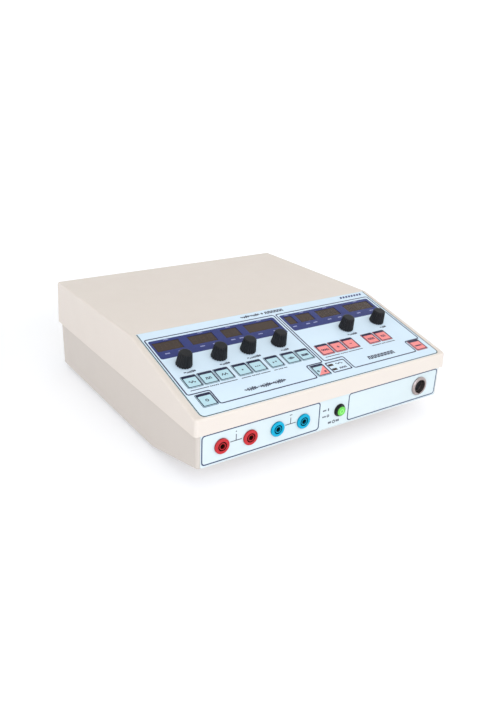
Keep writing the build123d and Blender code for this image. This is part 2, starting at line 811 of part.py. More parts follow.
# ---------------------------------------------------------------- mains inlet with its fuse drawer
inlet_flange_width = 33.0
inlet_flange_height = 38.0
inlet_flange_thickness = 2.0
inlet_flange_corner_radius = 2.0
inlet_edge_radius = 0.8
inlet_depth = 22.0
inlet_cavity_width = 24.6
inlet_cavity_height = 17.0
inlet_cavity_depth = 16.0
inlet_cavity_middle = inlet_height + 6.0
inlet_corner_cut = 4.5
drawer_width = 22.0
drawer_height = 8.0
drawer_depth = 16.5
drawer_gap = 0.05
drawer_middle = inlet_height - 9.5
lip_width = 8.0
lip_height = 1.6
lip_thickness = 0.9
lip_drop = 1.2
fuse_length = 20.0
fuse_width = 6.0
fuse_setback = 9.5
blade_width = 2.0
blade_height = 4.0
blade_length = 11.0
blade_spacing = 14.0
earth_blade_rise = 4.0
blade_middle = inlet_cavity_middle - 1.0
blade_tab_length = 8.0
blade_places = [(-blade_spacing / 2, 0), (blade_spacing / 2, 0), (0, earth_blade_rise)]

with BuildPart() as mains_inlet:
    with BuildSketch(on_back(inlet_x, inlet_height)):
        RectangleRounded(inlet_flange_width, inlet_flange_height, inlet_flange_corner_radius)
    extrude(amount=inlet_flange_thickness)
    fillet(mains_inlet.faces().sort_by(Axis.Y)[-1].edges(), radius=inlet_edge_radius)
    with BuildSketch(on_back(inlet_x, inlet_height)):
        Rectangle(inlet_body_width, inlet_body_height)
    extrude(amount=-inlet_depth)
    with BuildSketch(on_back(inlet_x, inlet_cavity_middle, inlet_flange_thickness)):
        cavity = Rectangle(inlet_cavity_width, inlet_cavity_height)
        chamfer(cavity.vertices().group_by(Axis.Y)[-1], length=inlet_corner_cut)
    extrude(amount=-inlet_cavity_depth, mode=Mode.SUBTRACT)
    with BuildSketch(on_back(inlet_x, drawer_middle, inlet_flange_thickness)):
        Rectangle(drawer_width + 2 * drawer_gap, drawer_height + 2 * drawer_gap)
    extrude(amount=-drawer_depth - fit_gap, mode=Mode.SUBTRACT)
    with BuildSketch(on_back(inlet_x, blade_middle, -inlet_depth - cut_margin)):
        with Locations(*blade_places):
            Rectangle(blade_width, blade_height)
    extrude(amount=inlet_depth, mode=Mode.SUBTRACT)
mains_inlet.part.label = "mains_inlet"
export_step(mains_inlet.part, "parts/mains_inlet.step")

with BuildPart() as inlet_pins:
    with BuildSketch(on_back(inlet_x, blade_middle, -inlet_depth - blade_tab_length)):
        with Locations(*blade_places):
            Rectangle(blade_width, blade_height)
    cavity_floor = inlet_flange_thickness - inlet_cavity_depth
    extrude(amount=inlet_depth + blade_tab_length + cavity_floor + blade_length)
inlet_pins.part.label = "inlet_pins"
export_step(inlet_pins.part, "parts/inlet_pins.step")

with BuildPart() as fuse_drawer:
    with BuildSketch(on_back(inlet_x, drawer_middle, inlet_flange_thickness)):
        Rectangle(drawer_width, drawer_height)
    extrude(amount=-drawer_depth)
    # Raised lip to pull on, and the trough that holds the fuse.
    with BuildSketch(on_back(inlet_x, drawer_middle + drawer_height / 2 - lip_drop, inlet_flange_thickness)):
        Rectangle(lip_width, lip_height)
    extrude(amount=lip_thickness)
    with BuildSketch(Plane.XY.offset(drawer_middle)):
        with Locations((inlet_x, base_back + inlet_flange_thickness - fuse_setback)):
            Rectangle(fuse_length, fuse_width)
    extrude(amount=drawer_height, mode=Mode.SUBTRACT)
fuse_drawer.part.label = "fuse_drawer"
export_step(fuse_drawer.part, "parts/fuse_drawer.step")

# ---------------------------------------------------------------- main board and transformer
main_board_width = 170.0
main_board_length = 140.0
main_board_middle = (35.0, 40.0)
component_base = board_post_height + board_thickness
heat_sink_middle = (85.0, 40.0)
heat_sink_width = 24.0
heat_sink_length = 90.0
heat_sink_plate = 4.0
fin_height = 22.0
fin_width = 1.5
fin_pitch = 4.0
fin_count = 6
capacitor_middle = (20.0, 85.0)
capacitor_radius = 7.0
capacitor_height = 24.0
capacitor_pitch = 18.0
capacitor_count = 4
relay_places = [(-10.0, 10.0), (20.0, 10.0)]
relay_width = 20.0
relay_length = 14.0
relay_height = 15.0

with BuildPart() as main_board:
    with BuildSketch(Plane.XY.offset(board_post_height)):
        with Locations(main_board_middle):
            Rectangle(main_board_width, main_board_length)
    extrude(amount=board_thickness)
    # Heat sink with fins, a row of capacitors and two relays stand on the board.
    with BuildSketch(Plane.XY.offset(component_base)):
        with Locations(heat_sink_middle):
            Rectangle(heat_sink_width, heat_sink_length)
    extrude(amount=heat_sink_plate)
    with BuildSketch(Plane.XY.offset(component_base + heat_sink_plate)):
        with Locations(heat_sink_middle):
            with GridLocations(fin_pitch, 1, fin_count, 1):
                Rectangle(fin_width, heat_sink_length)
    extrude(amount=fin_height)
    with BuildSketch(Plane.XY.offset(component_base)):
        with Locations(capacitor_middle):
            with GridLocations(capacitor_pitch, 1, capacitor_count, 1):
                Circle(capacitor_radius)
    extrude(amount=capacitor_height)
    with BuildSketch(Plane.XY.offset(component_base)):
        with Locations(*relay_places):
            Rectangle(relay_width, relay_length)
    extrude(amount=relay_height)
main_board.part.label = "main_board"
export_step(main_board.part, "parts/main_board.step")

core_width = 66.0
core_thickness = 34.0
core_height = 55.0
core_leg = 22.0
core_window_width = 11.0
core_window_height = 33.0
coil_depth = 52.0
transformer_x = -95.0
transformer_y = 90.0
coil_bottom = floor_height + (core_height - core_window_height) / 2
window_offset = (core_leg + core_window_width) / 2

with BuildPart() as transformer:
    # Laminated core with a window each side of its middle leg.
    with BuildSketch(Plane.XZ.offset(-transformer_y - core_thickness / 2)):
        with Locations((transformer_x, floor_height + core_height / 2)):
            Rectangle(core_width, core_height)
        with Locations(
            (transformer_x - window_offset, floor_height + core_height / 2),
            (transformer_x + window_offset, floor_height + core_height / 2),
        ):
            Rectangle(core_window_width, core_window_height, mode=Mode.SUBTRACT)
    extrude(amount=core_thickness)
    # Winding round the middle leg, a hair clear of the core.
    with BuildSketch(Plane.XY.offset(coil_bottom + fit_gap)):
        with Locations((transformer_x, transformer_y)):
            Rectangle(core_leg + 2 * core_window_width - 2 * fit_gap, coil_depth)
            Rectangle(core_leg, core_thickness, mode=Mode.SUBTRACT)
    extrude(amount=core_window_height - 2 * fit_gap)
transformer.part.label = "transformer"
export_step(transformer.part, "parts/transformer.step")
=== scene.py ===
import json
import math

import bmesh
import bpy
from mathutils import Matrix, Vector
from mathutils.geometry import tessellate_polygon


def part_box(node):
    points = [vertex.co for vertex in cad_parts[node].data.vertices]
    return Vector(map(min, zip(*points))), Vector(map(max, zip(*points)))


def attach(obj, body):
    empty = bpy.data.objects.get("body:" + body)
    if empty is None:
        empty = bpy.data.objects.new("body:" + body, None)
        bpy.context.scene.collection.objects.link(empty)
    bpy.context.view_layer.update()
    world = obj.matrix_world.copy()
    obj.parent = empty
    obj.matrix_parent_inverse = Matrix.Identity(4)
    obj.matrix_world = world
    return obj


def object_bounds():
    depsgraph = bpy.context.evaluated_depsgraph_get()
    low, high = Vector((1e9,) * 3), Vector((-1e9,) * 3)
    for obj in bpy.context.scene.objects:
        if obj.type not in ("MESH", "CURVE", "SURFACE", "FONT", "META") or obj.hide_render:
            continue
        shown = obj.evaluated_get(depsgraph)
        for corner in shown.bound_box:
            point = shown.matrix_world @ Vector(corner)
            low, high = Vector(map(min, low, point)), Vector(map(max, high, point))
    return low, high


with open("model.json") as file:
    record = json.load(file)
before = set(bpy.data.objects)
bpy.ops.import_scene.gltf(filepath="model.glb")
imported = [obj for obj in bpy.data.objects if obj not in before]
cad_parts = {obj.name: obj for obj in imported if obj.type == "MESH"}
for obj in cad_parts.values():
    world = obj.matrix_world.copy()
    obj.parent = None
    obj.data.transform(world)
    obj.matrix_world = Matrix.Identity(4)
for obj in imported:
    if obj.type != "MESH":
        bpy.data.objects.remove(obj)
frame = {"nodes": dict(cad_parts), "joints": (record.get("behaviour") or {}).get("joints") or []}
cad_low, cad_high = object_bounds()

# Prints and marks are laid out in millimetres on a face, and the scene is in metres.
MM = 0.001


# ---------------------------------------------------------------- faces that prints lie on
class Face:
    """A flat face, with places in millimetres from its origin: x to the right, y along it, and out."""

    def __init__(self, origin, right, along, out):
        self.origin = origin
        self.right = right
        self.along = along
        self.out = out

    def at(self, x, y, out=0.0):
        """The point in the frame, in metres."""
        return self.origin + (self.right * x + self.along * y + self.out * out) * MM

    def points(self, node):
        """A CAD node's corners on this face."""
        corners = [vertex.co - self.origin for vertex in frame["nodes"][node].data.vertices]
        return [(c.dot(self.right) / MM, c.dot(self.along) / MM, c.dot(self.out) / MM) for c in corners]

    def span(self, node):
        """A CAD node's lowest and highest x, y and out."""
        columns = list(zip(*self.points(node)))
        return [(min(column), max(column)) for column in columns]

    def runs(self, node, gap=0.5):
        """The stretches of x that a node of several solids takes up, where more than a gap parts them."""
        points = self.points(node)
        stretches = []
        for face in frame["nodes"][node].data.polygons:
            places = [points[index][0] for index in face.vertices]
            stretches.append((min(places), max(places)))
        found = []
        for low, high in sorted(stretches):
            if not found or low > found[-1][1] + gap:
                found.append([low, high])
            found[-1][1] = max(found[-1][1], high)
        return found


def joint_axis(name):
    """The unit direction of a joint in the record."""
    for joint in frame["joints"]:
        if joint["name"] == name:
            return Vector(joint["axis"]).normalized()
    raise KeyError(name)


def control_face():
    """The sloping control face, from the line where the slope meets the flat top."""
    right = Vector((1, 0, 0))
    out = joint_axis("knob_1_turn")
    if out.z < 0:
        out = -out
    down = right.cross(out)
    skin = min(out.dot(vertex.co) for vertex in frame["nodes"]["control_overlay"].data.vertices)
    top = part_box("upper_cover")[1].z
    break_y = (skin - out.z * top) / out.y
    return Face(Vector((0, break_y, top)), right, down, out)


def upright_face(node, facing):
    """The front (facing -1) or back (facing 1) of the base, with y as the height above the bench."""
    low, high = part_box(node)
    y = low.y if facing < 0 else high.y
    return Face(Vector((0, y, 0)), Vector((-facing, 0, 0)), Vector((0, 0, 1)), Vector((0, facing, 0)))


slope = control_face()
front = upright_face("front_overlay", -1)
back = upright_face("lower_base", 1)


# ---------------------------------------------------------------- flat shapes, in millimetres
# A shape is a list of loops: its edge first, then any holes.
def arc(x, y, radius, start, end, steps):
    """Points on an arc, angles in degrees."""
    turns = [math.radians(start + (end - start) * step / steps) for step in range(steps + 1)]
    return [(x + radius * math.cos(turn), y + radius * math.sin(turn)) for turn in turns]


def disc(x, y, radius, steps=24):
    """A round loop."""
    return arc(x, y, radius, 0, 360, steps)[:-1]


def rounded(x0, y0, x1, y1, radius, steps=6):
    """A rectangular loop with round corners."""
    corners = [(x1, y0, -90), (x1, y1, 0), (x0, y1, 90), (x0, y0, 180)]
    loop = []
    for x, y, start in corners:
        middle_x = x + (radius if x == x0 else -radius)
        middle_y = y + (radius if y == y0 else -radius)
        loop += arc(middle_x, middle_y, radius, start, start + 90, steps)
    return loop


def smooth_corners(corners, radius, closed, steps=6):
    """A path through the corners with each one rounded."""
    path = []
    count = len(corners)
    for index, corner in enumerate(corners):
        here = Vector(corner)
        if not closed and index in (0, count - 1):
            path.append(tuple(here))
            continue
        before = (Vector(corners[index - 1]) - here).normalized()
        after = (Vector(corners[(index + 1) % count]) - here).normalized()
        start = here + before * radius
        end = here + after * radius
        for step in range(steps + 1):
            share = step / steps
            first = start.lerp(here, share)
            second = here.lerp(end, share)
            path.append(tuple(first.lerp(second, share)))
    return path


def side_of_path(path, shift, closed):
    """The path moved sideways by a distance, with mitred corners."""
    moved = []
    count = len(path)
    for index, point in enumerate(path):
        here = Vector(point)
        before = Vector(path[index - 1]) if closed or index > 0 else None
        after = Vector(path[(index + 1) % count]) if closed or index < count - 1 else None
        first = (here - before).normalized() if before is not None else (after - here).normalized()
        second = (after - here).normalized() if after is not None else first
        normal = Vector((-first.y - second.y, first.x + second.x)).normalized()
        spread = max(0.5, normal.dot(Vector((-first.y, first.x))))
        moved.append(tuple(here + normal * shift / spread))
    return moved


def stroke(path, width, closed=False):
    """A line of even width along a path, as one shape."""
    left = side_of_path(path, width / 2, closed)
    right = side_of_path(path, -width / 2, closed)
    if closed:
        return [left, right]
    return [left + right[::-1]]


def outline(corners, radius, width):
    """A closed ruled line with round corners."""
    return stroke(smooth_corners(corners, radius, True), width, True)


def bar(x0, y0, x1, y1):
    """A plain rectangle."""
    return [[(x0, y0), (x1, y0), (x1, y1), (x0, y1)]]


def moved(shapes, x, y):
    """Shapes moved across the face."""
    return [[[(px + x, py + y) for px, py in loop] for loop in shape] for shape in shapes]


# ---------------------------------------------------------------- generic marks
MARK_LINE = 0.8
TITLE_LINE = 1.2


def wave(width, height, cycles, envelope=None, steps=16, line=MARK_LINE):
    """A sine wave, or one that swells and fades where an envelope of so many beats is given."""
    path = []
    total = int(cycles * steps)
    for step in range(total + 1):
        share = step / total
        swell = 1.0 if envelope is None else abs(math.sin(math.pi * envelope * share))
        path.append(((share - 0.5) * width, -math.sin(2 * math.pi * cycles * share) * swell * height / 2))
    return [stroke(path, line)]


def pulses(width, height, count, line=MARK_LINE):
    """A train of square pulses."""
    pitch = width / count
    path = [(-width / 2, height / 2)]
    for index in range(count):
        rise = -width / 2 + pitch * (index + 0.25)
        fall = rise + pitch / 2
        path += [(rise, height / 2), (rise, -height / 2), (fall, -height / 2), (fall, height / 2)]
    path.append((width / 2, height / 2))
    return [stroke(path, line)]


def zigzag(width, height, count):
    """A triangle wave."""
    path = []
    for index in range(2 * count + 1):
        side = 1 if index % 2 == 0 else -1
        path.append((-width / 2 + width * index / (2 * count), side * height / 2))
    return [stroke(path, MARK_LINE)]


def dots(count, pitch, radius):
    """A row of dots."""
    first = -pitch * (count - 1) / 2
    return [[disc(first + pitch * index, 0, radius, 12)] for index in range(count)]


def plus(size, line=MARK_LINE):
    """A plus sign, as one shape."""
    far = size / 2
    near = line / 2
    return [[[(-far, -near), (-near, -near), (-near, -far), (near, -far), (near, -near), (far, -near),
              (far, near), (near, near), (near, far), (-near, far), (-near, near), (-far, near)]]]


def minus(size, line=MARK_LINE):
    """A minus sign."""
    return [bar(-size / 2, -line / 2, size / 2, line / 2)]


def pointer(size, upward):
    """A solid triangle that points up or down the face."""
    tip = -size / 2 if upward else size / 2
    return [[[(-size / 2, -tip), (size / 2, -tip), (0, tip)]]]


def square(size):
    """A solid square."""
    return [bar(-size / 2, -size / 2, size / 2, size / 2)]


def ring(radius):
    """A plain ring."""
    return [[disc(0, 0, radius), disc(0, 0, radius - MARK_LINE)]]


def rising_bars(width, height, count):
    """A row of bars that grow, between a minus and a plus: more this way."""
    sign = height * 0.75
    lowest = 0.45
    filled = 0.72
    pitch = (width - 2 * sign) / count
    shapes = moved(minus(sign, TITLE_LINE), -width / 2 + sign / 2, 0)
    shapes += moved(plus(sign, TITLE_LINE), width / 2 - sign / 2, 0)
    for index in range(count):
        left = -width / 2 + sign + pitch * (index + 0.2)
        top = height / 2 - height * (lowest + (1 - lowest) * index / (count - 1))
        shapes.append(bar(left, top, left + pitch * filled, height / 2))
    return shapes


def blocks(width, height, count):
    """A row of small solid blocks."""
    pitch = width / count
    shapes = []
    for index in range(count):
        left = -width / 2 + pitch * index
        shapes.append(bar(left, -height / 2, left + pitch * 0.8, height / 2))
    return shapes


def power_sign(radius):
    """The usual sign on a power button: a broken ring with a bar in its gap. Here y is upward."""
    return [
        stroke(arc(0, 0, radius, 125, 415, 24), MARK_LINE),
        bar(-MARK_LINE / 2, radius * 0.15, MARK_LINE / 2, radius * 1.35),
    ]


def seven_segments(width, height, slant):
    """The seven bars of an unlit digit."""
    half = 0.5
    tip = 0.12
    shapes = []
    level = [(0, -height / 2), (0, 0), (0, height / 2)]
    upright = [(x, y) for x in (-width / 2, width / 2) for y in (-height / 4, height / 4)]
    for x, y in level:
        reach = width / 2 - half - tip
        loop = [(x - reach - half, y), (x - reach, y - half), (x + reach, y - half),
                (x + reach + half, y), (x + reach, y + half), (x - reach, y + half)]
        shapes.append([loop])
    for x, y in upright:
        reach = height / 4 - half - tip
        loop = [(x, y - reach - half), (x + half, y - reach), (x + half, y + reach),
                (x, y + reach + half), (x - half, y + reach), (x - half, y - reach)]
        shapes.append([loop])
    return [[[(x - y * slant, y) for x, y in loop] for loop in shape] for shape in shapes]


# ---------------------------------------------------------------- finishes
def srgb(red, green, blue):
    """A colour given in the usual 0 to 255 steps."""
    def linear(step):
        share = step / 255
        return share / 12.92 if share <= 0.04045 else ((share + 0.055) / 1.055) ** 2.4

    return (linear(red), linear(green), linear(blue), 1.0)


def scaled(colour, factor):
    """A colour made lighter or darker."""
    return tuple(min(1.0, part * factor) for part in colour[:3]) + (1.0,)


# The places of a Mix node's colour sockets among its inputs and outputs.
MIX_FIRST = 6
MIX_SECOND = 7
MIX_RESULT = 2


class Finish:
    """A material's node tree, with short calls for what the finishes share."""

    def __init__(self, name, rough, metallic=0.0, specular=0.5, ior=1.46, coat=0.0):
        self.material = bpy.data.materials.get(name) or bpy.data.materials.new(name)
        self.material.use_nodes = True
        self.tree = self.material.node_tree
        self.tree.nodes.clear()
        self.shader = self.node("ShaderNodeBsdfPrincipled")
        output = self.node("ShaderNodeOutputMaterial")
        self.tree.links.new(self.shader.outputs["BSDF"], output.inputs["Surface"])
        self.place = self.node("ShaderNodeTexCoord").outputs["Object"]
        self.shader.inputs["Roughness"].default_value = rough
        self.shader.inputs["Metallic"].default_value = metallic
        self.shader.inputs["Specular IOR Level"].default_value = specular
        self.shader.inputs["IOR"].default_value = ior
        self.shader.inputs["Coat Weight"].default_value = coat

    def node(self, kind, **settings):
        """A new node of a kind, with its settings."""
        made = self.tree.nodes.new(kind)
        for key, value in settings.items():
            setattr(made, key, value)
        return made

    def set(self, socket, value):
        """Links a node's output to a socket, or sets a plain value on it."""
        if isinstance(value, bpy.types.NodeSocket):
            self.tree.links.new(value, socket)
        else:
            socket.default_value = value

    def noise(self, size, detail=2.0, roughness=0.5, stretch=(1, 1, 1)):
        """Soft random pattern with features of about this size in millimetres."""
        mapping = self.node("ShaderNodeMapping")
        self.set(mapping.inputs["Vector"], self.place)
        mapping.inputs["Scale"].default_value = stretch
        texture = self.node("ShaderNodeTexNoise")
        self.set(texture.inputs["Vector"], mapping.outputs["Vector"])
        texture.inputs["Scale"].default_value = 1 / (size * MM)
        texture.inputs["Detail"].default_value = detail
        texture.inputs["Roughness"].default_value = roughness
        return texture.outputs["Fac"]

    def cells(self, size):
        """Small irregular cells of about this size in millimetres, as distances from their middles."""
        texture = self.node("ShaderNodeTexVoronoi")
        self.set(texture.inputs["Vector"], self.place)
        texture.inputs["Scale"].default_value = 1 / (size * MM)
        return texture.outputs["Distance"]

    def remap(self, value, low, high, to_low, to_high):
        """A value carried from one range to another."""
        made = self.node("ShaderNodeMapRange")
        self.set(made.inputs["Value"], value)
        made.inputs["From Min"].default_value = low
        made.inputs["From Max"].default_value = high
        made.inputs["To Min"].default_value = to_low
        made.inputs["To Max"].default_value = to_high
        return made.outputs["Result"]

    def mix(self, share, first, second):
        """A colour between two others."""
        made = self.node("ShaderNodeMix", data_type="RGBA")
        self.set(made.inputs["Factor"], share)
        self.set(made.inputs[MIX_FIRST], first)
        self.set(made.inputs[MIX_SECOND], second)
        return made.outputs[MIX_RESULT]

    def patches(self, low, high, size, detail=2.0, roughness=0.5, stretch=(1, 1, 1)):
        """A value that drifts from low to high, in soft patches of about this size in millimetres."""
        return self.remap(self.noise(size, detail, roughness, stretch), 0.3, 0.7, low, high)

    def times(self, first, second):
        """Two values multiplied."""
        made = self.node("ShaderNodeMath", operation="MULTIPLY")
        self.set(made.inputs[0], first)
        self.set(made.inputs[1], second)
        return made.outputs[0]

    def edges(self, radius):
        """Near 1 on sharp and rounded edges, 0 on flat faces."""
        bevel = self.node("ShaderNodeBevel", samples=6)
        bevel.inputs["Radius"].default_value = radius * MM
        geometry = self.node("ShaderNodeNewGeometry")
        made = self.node("ShaderNodeVectorMath", operation="DOT_PRODUCT")
        self.set(made.inputs[0], bevel.outputs["Normal"])
        self.set(made.inputs[1], geometry.outputs["True Normal"])
        return self.remap(made.outputs["Value"], 0.999, 0.93, 0.0, 1.0)

    def crevices(self, reach):
        """Near 1 in corners and seams, 0 in the open, from ambient occlusion; the finishes darken by it to
        paint shade there.
        """
        made = self.node("ShaderNodeAmbientOcclusion", samples=6)
        made.inputs["Distance"].default_value = reach * MM
        return self.remap(made.outputs["AO"], 0.75, 0.2, 0.0, 1.0)

    def colour(self, value):
        """Gives the surface a plain colour or a pattern."""
        self.set(self.shader.inputs["Base Color"], value)

    def roughness(self, value):
        """Gives the surface an even roughness or a pattern."""
        self.set(self.shader.inputs["Roughness"], value)

    def bump(self, *layers):
        """Layers of (pattern, depth in millimetres), each laid over the one before."""
        normal = None
        for pattern, depth in layers:
            made = self.node("ShaderNodeBump")
            made.inputs["Strength"].default_value = 1.0
            made.inputs["Distance"].default_value = depth * MM
            self.set(made.inputs["Height"], pattern)
            if normal is not None:
                self.set(made.inputs["Normal"], normal)
            normal = made.outputs["Normal"]
        self.set(self.shader.inputs["Normal"], normal)


def moulded(name, colour, rough, grain, depth, edge_wear_and_highlight=1.12, crevice_shade=0.75, edge=0.5, specular=0.5):
    """Moulded plastic: faint mottling, fine grain, edges lighter for rubbing wear and a painted highlight,
    and painted shade in its corners.
    """
    made = Finish(name, rough, specular=specular)
    mottle = made.patches(0.0, 1.0, 30, 3)
    tone = made.mix(mottle, scaled(colour, 0.993), scaled(colour, 1.006))
    speckle = made.remap(made.noise(grain * 1.7, 2), 0.35, 0.65, 0.0, 0.35)
    tone = made.mix(speckle, tone, scaled(colour, 0.93))
    # Lighter edges: rubbing wear and a painted highlight.
    tone = made.mix(made.times(made.edges(edge), 0.6), tone, scaled(colour, edge_wear_and_highlight))
    # Painted shade: darker in corners and seams, where ambient occlusion finds them.
    tone = made.mix(made.times(made.crevices(2.5), 0.5), tone, scaled(colour, crevice_shade))
    made.colour(tone)
    smudge = made.patches(rough - 0.04, rough + 0.04, 18, 4, 0.6)
    made.roughness(smudge)
    made.bump((made.noise(grain * 6, 2), depth * 1.6), (made.noise(grain, 3, 0.6), depth))


def printed_film(name, colour, rough=0.42):
    """Velvet-textured polyester film, printed on its back."""
    made = Finish(name, rough)
    cloud = made.patches(0.0, 1.0, 45, 2)
    tone = made.mix(cloud, scaled(colour, 0.975), scaled(colour, 1.02))
    rubbed = made.remap(made.noise(9, 4, 0.65), 0.58, 0.75, 0.0, 0.35)
    tone = made.mix(rubbed, tone, scaled(colour, 0.955))
    # Painted shade: darker in corners and seams, from ambient occlusion.
    tone = made.mix(made.times(made.crevices(1.5), 0.5), tone, scaled(colour, 0.6))
    made.colour(tone)
    made.roughness(made.patches(rough - 0.08, rough + 0.08, 14, 4, 0.6))
    made.bump((made.noise(6, 1), 0.004), (made.cells(0.22), 0.006))


def ink(name, colour, rough=0.45):
    """Screen-printed ink with a faint mesh mark and slightly uneven cover."""
    made = Finish(name, rough)
    cover = made.patches(0.0, 1.0, 3.5, 3)
    made.colour(made.mix(cover, scaled(colour, 0.92), scaled(colour, 1.1)))
    made.roughness(made.patches(rough - 0.06, rough + 0.06, 1.2, 2))
    made.bump((made.cells(0.18), 0.004))
    return made


def turned_metal(name, colour, rough, lines=(1, 1, 1), worn=0.8, reach=2.0, crevice_shade=0.6):
    """Turned or plated metal: fine tool lines, patches of dulled plate, edges lighter for wear and a
    painted highlight, painted shade in its recesses.
    """
    made = Finish(name, rough, metallic=1.0)
    patch = made.remap(made.noise(5, 4, 0.6), 0.35, 0.7, 0.0, 1.0)
    tone = made.mix(patch, colour, scaled(colour, worn))
    # Lighter edges: wear and a painted highlight.
    tone = made.mix(made.times(made.edges(0.25), 0.7), tone, scaled(colour, 1.15))
    # Painted shade: darker in recesses, from ambient occlusion.
    tone = made.mix(made.crevices(reach), tone, scaled(colour, crevice_shade))
    made.colour(tone)
    made.roughness(made.remap(made.noise(1.4, 4, 0.6), 0.3, 0.7, max(0.05, rough - 0.1), rough + 0.12))
    made.bump((made.noise(0.25, 2, 0.6, lines), 0.004), (made.noise(3, 2), 0.006))


def glossy(name, colour, rough, coat=0.4, specular=0.5, reach=1.2, crevice_shade=0.5):
    """Glossy moulded plastic with flow marks and fine scratches, edges lighter for wear and a painted
    highlight, and painted shade in its recesses.
    """
    made = Finish(name, rough, specular=specular, coat=coat)
    made.shader.inputs["Coat Roughness"].default_value = 0.12
    flow = made.patches(0.0, 1.0, 7, 3, 0.55, (1, 1, 0.4))
    tone = made.mix(flow, scaled(colour, 0.92), scaled(colour, 1.07))
    # Lighter edges: wear and a painted highlight.
    tone = made.mix(made.times(made.edges(0.3), 0.45), tone, scaled(colour, 1.3))
    # Painted shade: darker in recesses, from ambient occlusion.
    tone = made.mix(made.crevices(reach), tone, scaled(colour, crevice_shade))
    made.colour(tone)
    made.roughness(made.remap(made.noise(0.9, 5, 0.7, (1, 0.2, 1)), 0.4, 0.7, rough - 0.05, rough + 0.14))
    made.bump((made.noise(2.2, 3), 0.006), (made.noise(0.3, 2), 0.002))


def laminated(name):
    """Varnished steel laminations."""
    made = Finish(name, 0.5, metallic=0.4)
    sheets = made.node("ShaderNodeTexWave", bands_direction="Y")
    made.set(sheets.inputs["Vector"], made.place)
    sheets.inputs["Scale"].default_value = 300.0
    tone = made.mix(sheets.outputs["Fac"], srgb(92, 92, 96), srgb(128, 126, 126))
    made.colour(tone)
    made.bump((sheets.outputs["Fac"], 0.1), (made.noise(4, 3), 0.05))


def circuit(name):
    """Solder mask with copper tracks faintly showing through."""
    made = Finish(name, 0.35, coat=0.3)
    tracks = made.node("ShaderNodeTexBrick")
    made.set(tracks.inputs["Vector"], made.place)
    tracks.inputs["Scale"].default_value = 120.0
    tracks.inputs["Color1"].default_value = srgb(20, 92, 52)
    tracks.inputs["Color2"].default_value = srgb(16, 80, 45)
    tracks.inputs["Mortar"].default_value = srgb(36, 122, 70)
    patches = made.patches(0.0, 0.5, 8, 3)
    made.colour(made.mix(patches, tracks.outputs["Color"], srgb(14, 70, 40)))
    made.bump((tracks.outputs["Fac"], 0.03), (made.noise(0.8, 2), 0.01))


def smoked(name):
    """Smoked brown acrylic with wiping marks on its gloss."""
    made = Finish(name, 0.16, ior=1.49)
    tone = made.mix(made.patches(0.0, 1.0, 25, 2), srgb(56, 44, 36), srgb(64, 51, 42))
    made.colour(tone)
    made.roughness(made.remap(made.noise(6, 4, 0.7, (1, 0.3, 1)), 0.35, 0.7, 0.12, 0.26))
    made.bump((made.noise(12, 2), 0.01))


# Each has its colour and its roughness, and moulded plastic also its grain's size and depth in millimetres.
moulded("cream_cover", srgb(214, 204, 194), 0.5, 0.45, 0.012, edge_wear_and_highlight=1.08, crevice_shade=0.7, edge=1.6)
# The base is the cover's cream made darker: painted shade under the cover's overhang.
moulded("cream_base", srgb(198, 189, 180), 0.52, 0.45, 0.012, edge_wear_and_highlight=1.08, crevice_shade=0.65, edge=1.2)
printed_film("blue_overlay", srgb(204, 222, 235))
printed_film("front_blue_overlay", srgb(200, 212, 214))
turquoise = srgb(178, 211, 220)
salmon = srgb(236, 138, 136)
for name, tint in (("turquoise", turquoise), ("salmon", salmon), ("two_colour", turquoise)):
    moulded(name, tint, 0.45, 0.25, 0.004, edge_wear_and_highlight=1.05, crevice_shade=0.7, edge=0.35)
# The knobs' edges are lightened strongly: a painted highlight on their flutes.
moulded("knob_black", srgb(22, 23, 26), 0.42, 0.3, 0.008, edge_wear_and_highlight=2.2, crevice_shade=0.5, edge=0.3, specular=0.32)
moulded("insert_black", srgb(26, 26, 29), 0.5, 0.3, 0.01, edge_wear_and_highlight=1.4, edge=0.2, specular=0.3)
moulded("bezel_black", srgb(19, 21, 20), 0.4, 0.3, 0.008, edge_wear_and_highlight=1.6, edge=0.25)
moulded("inlet_black", srgb(30, 30, 31), 0.48, 0.35, 0.01, edge_wear_and_highlight=1.7, edge=0.4)
moulded("rubber_black", srgb(36, 35, 35), 0.8, 0.6, 0.03, edge_wear_and_highlight=1.3, edge=0.6, specular=0.3)
moulded("switch_grey", srgb(84, 84, 88), 0.5, 0.4, 0.01, edge_wear_and_highlight=1.2, edge=0.3)
glossy("display_black", srgb(34, 33, 34), 0.3)
# The sockets are darkened far into their bores: painted shade.
glossy("socket_red", srgb(183, 37, 44), 0.3, coat=0.0, specular=0.3, reach=12.0, crevice_shade=0.05)
glossy("socket_blue", srgb(0, 158, 193), 0.3, coat=0.0, specular=0.2, reach=12.0, crevice_shade=0.05)
glossy("button_green", srgb(98, 196, 72), 0.34, coat=0.1)
turned_metal("panel_metal", srgb(206, 208, 210), 0.35, (1, 6, 6))
turned_metal("shaft_steel", srgb(190, 190, 193), 0.3, (1, 1, 6))
turned_metal("nut_plate", srgb(200, 200, 200), 0.32)
# The contacts and the treatment socket's ring are darkened in its bore: painted shade.
turned_metal("contact_brass", srgb(196, 168, 110), 0.34, (1, 6, 1), reach=10.0, crevice_shade=0.04)
turned_metal("nickel_ring", srgb(178, 165, 162), 0.38, (1, 6, 1), reach=4.0, crevice_shade=0.15)
turned_metal("blade_nickel", srgb(206, 205, 203), 0.24, (1, 5, 1))
turned_metal("screw_zinc", srgb(196, 199, 204), 0.36)
laminated("transformer_core")
circuit("board_green")
smoked("smoked_filter")
navy_ink = ink("navy_ink", srgb(29, 42, 107))
line_ink = ink("line_ink", srgb(20, 24, 66))
front_line_ink = ink("front_line_ink", srgb(28, 48, 88))
